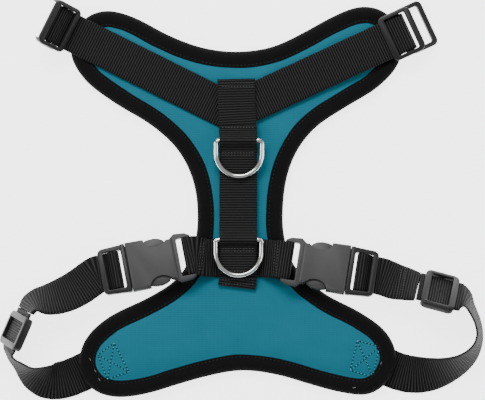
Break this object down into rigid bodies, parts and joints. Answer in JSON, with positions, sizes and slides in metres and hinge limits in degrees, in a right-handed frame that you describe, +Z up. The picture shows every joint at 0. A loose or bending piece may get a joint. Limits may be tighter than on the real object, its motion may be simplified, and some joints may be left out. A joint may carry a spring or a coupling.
{
  "type": "no pull dog harness",
  "caption": "Padded X-shaped dog harness with webbing straps, D-rings for a leash, strap adjusters and side release buckles, laid flat.",
  "frame": {"origin": "centre of the bounding box at its base, where the harness lies on a flat surface", "axes": "+Z up out of the surface, +Y from the belly end to the neck end of the panel, +X to the right in the flat layout"},
  "size_m": [0.3262, 0.2692, 0.0312],
  "materials": {
    "face_mesh": "matte knitted air mesh",
    "foam": "soft open cell padding",
    "lining": "matte lining cloth",
    "binding": "matte elastic knit tape",
    "webbing": "ribbed woven polyester",
    "plastic": "fine grained moulded",
    "nickel": "polished"
  },
  "bodies": {
    "chest_panel": {"panel_lining": "lining", "panel_foam": "foam", "panel_face": "face_mesh", "edge_binding": "binding", "left_wing_tab": "webbing", "right_wing_tab": "webbing", "left_girth_strap": "webbing", "right_girth_strap": "webbing"},
    "back_webbing": {"spine_webbing": "webbing", "spine_overlay": "webbing", "waist_strap": "webbing", "left_neck_strap": "webbing", "right_neck_strap": "webbing", "left_buckle_socket": "plastic", "right_buckle_socket": "plastic"},
    "upper_ring": {"upper_d_ring": "nickel"},
    "lower_ring": {"lower_d_ring": "nickel"},
    "left_neck_adjuster": {"left_neck_slider": "plastic"},
    "left_neck_link": {"left_neck_ring": "plastic"},
    "left_plug": {"left_buckle_plug": "plastic", "left_girth_loop": "webbing"},
    "left_rear_latch": {"left_rear_prong": "plastic"},
    "left_front_latch": {"left_front_prong": "plastic"},
    "left_girth_adjuster": {"left_girth_slider": "plastic"},
    "right_neck_adjuster": {"right_neck_slider": "plastic"},
    "right_neck_link": {"right_neck_ring": "plastic"},
    "right_plug": {"right_buckle_plug": "plastic", "right_girth_loop": "webbing"},
    "right_rear_latch": {"right_rear_prong": "plastic"},
    "right_front_latch": {"right_front_prong": "plastic"},
    "right_girth_adjuster": {"right_girth_slider": "plastic"}
  },
  "joints": [
    {"name": "back_lift", "type": "hinge", "parent": "chest_panel", "child": "back_webbing", "pos_m": [0.00075, 0.13016, 0.006], "axis": [-1, 0, 0], "range_deg": [0, 12], "deforming": ["left_wing_tab", "right_wing_tab", "left_girth_strap", "right_girth_strap"]},
    {"name": "upper_ring_swing", "type": "hinge", "parent": "back_webbing", "child": "upper_ring", "pos_m": [-0.00195, 0.04016, 0.01475], "axis": [-1, 0, 0], "range_deg": [0, 150]},
    {"name": "lower_ring_swing", "type": "hinge", "parent": "back_webbing", "child": "lower_ring", "pos_m": [-0.00235, -0.02644, 0.0132], "axis": [-1, 0, 0], "range_deg": [0, 150]},
    {"name": "left_neck_adjust", "type": "slide", "parent": "back_webbing", "child": "left_neck_adjuster", "axis": [-0.6651, 0.3316, 0.6691], "range_m": [-0.0025, 0]},
    {"name": "right_neck_adjust", "type": "slide", "parent": "back_webbing", "child": "right_neck_adjuster", "axis": [0.9078, 0.4194, 0], "range_m": [-0.026, 0]},
    {"name": "left_link_swing", "type": "hinge", "parent": "back_webbing", "child": "left_neck_link", "pos_m": [-0.12806, 0.11959, 0.01739], "axis": [-0.4462, -0.8949, 0], "range_deg": [0, 12]},
    {"name": "right_link_swing", "type": "hinge", "parent": "back_webbing", "child": "right_neck_link", "pos_m": [0.10967, 0.11304, 0.0055], "axis": [0.4194, -0.9078, 0], "range_deg": [0, 16]},
    {"name": "left_buckle_release", "type": "slide", "parent": "back_webbing", "child": "left_plug", "axis": [-0.9816, -0.1908, 0], "range_m": [0, 0.029], "deforming": ["left_girth_strap", "left_rear_prong", "left_front_prong"]},
    {"name": "right_buckle_release", "type": "slide", "parent": "back_webbing", "child": "right_plug", "axis": [0.9877, -0.1564, 0], "range_m": [0, 0.029], "deforming": ["right_girth_strap", "right_rear_prong", "right_front_prong"]},
    {"name": "left_rear_squeeze", "type": "hinge", "parent": "left_plug", "child": "left_rear_latch", "pos_m": [-0.0744, -0.03451, 0.0118], "axis": [0.0397, -0.2041, -0.9781], "range_deg": [0, 8], "stiffness_Nm_per_rad": 0.3},
    {"name": "left_front_squeeze", "type": "hinge", "parent": "left_plug", "child": "left_front_latch", "pos_m": [-0.07044, -0.05487, 0.0162], "axis": [-0.0397, 0.2041, 0.9781], "range_deg": [0, 8], "stiffness_Nm_per_rad": 0.3},
    {"name": "right_rear_squeeze", "type": "hinge", "parent": "right_plug", "child": "right_rear_latch", "pos_m": [0.06921, -0.03626, 0.0118], "axis": [0.0325, 0.2054, 0.9781], "range_deg": [0, 8], "stiffness_Nm_per_rad": 0.3},
    {"name": "right_front_squeeze", "type": "hinge", "parent": "right_plug", "child": "right_front_latch", "pos_m": [0.06597, -0.05675, 0.0162], "axis": [-0.0325, -0.2054, -0.9781], "range_deg": [0, 8], "stiffness_Nm_per_rad": 0.3},
    {"name": "left_girth_adjust", "type": "slide", "parent": "left_plug", "child": "left_girth_adjuster", "axis": [0.3987, 0.9171, 0], "range_m": [-0.0006, 0.0027]},
    {"name": "right_girth_adjust", "type": "slide", "parent": "right_plug", "child": "right_girth_adjuster", "axis": [-0.9659, 0.2588, 0], "range_m": [-0.0027, 0.0027]}
  ]
}
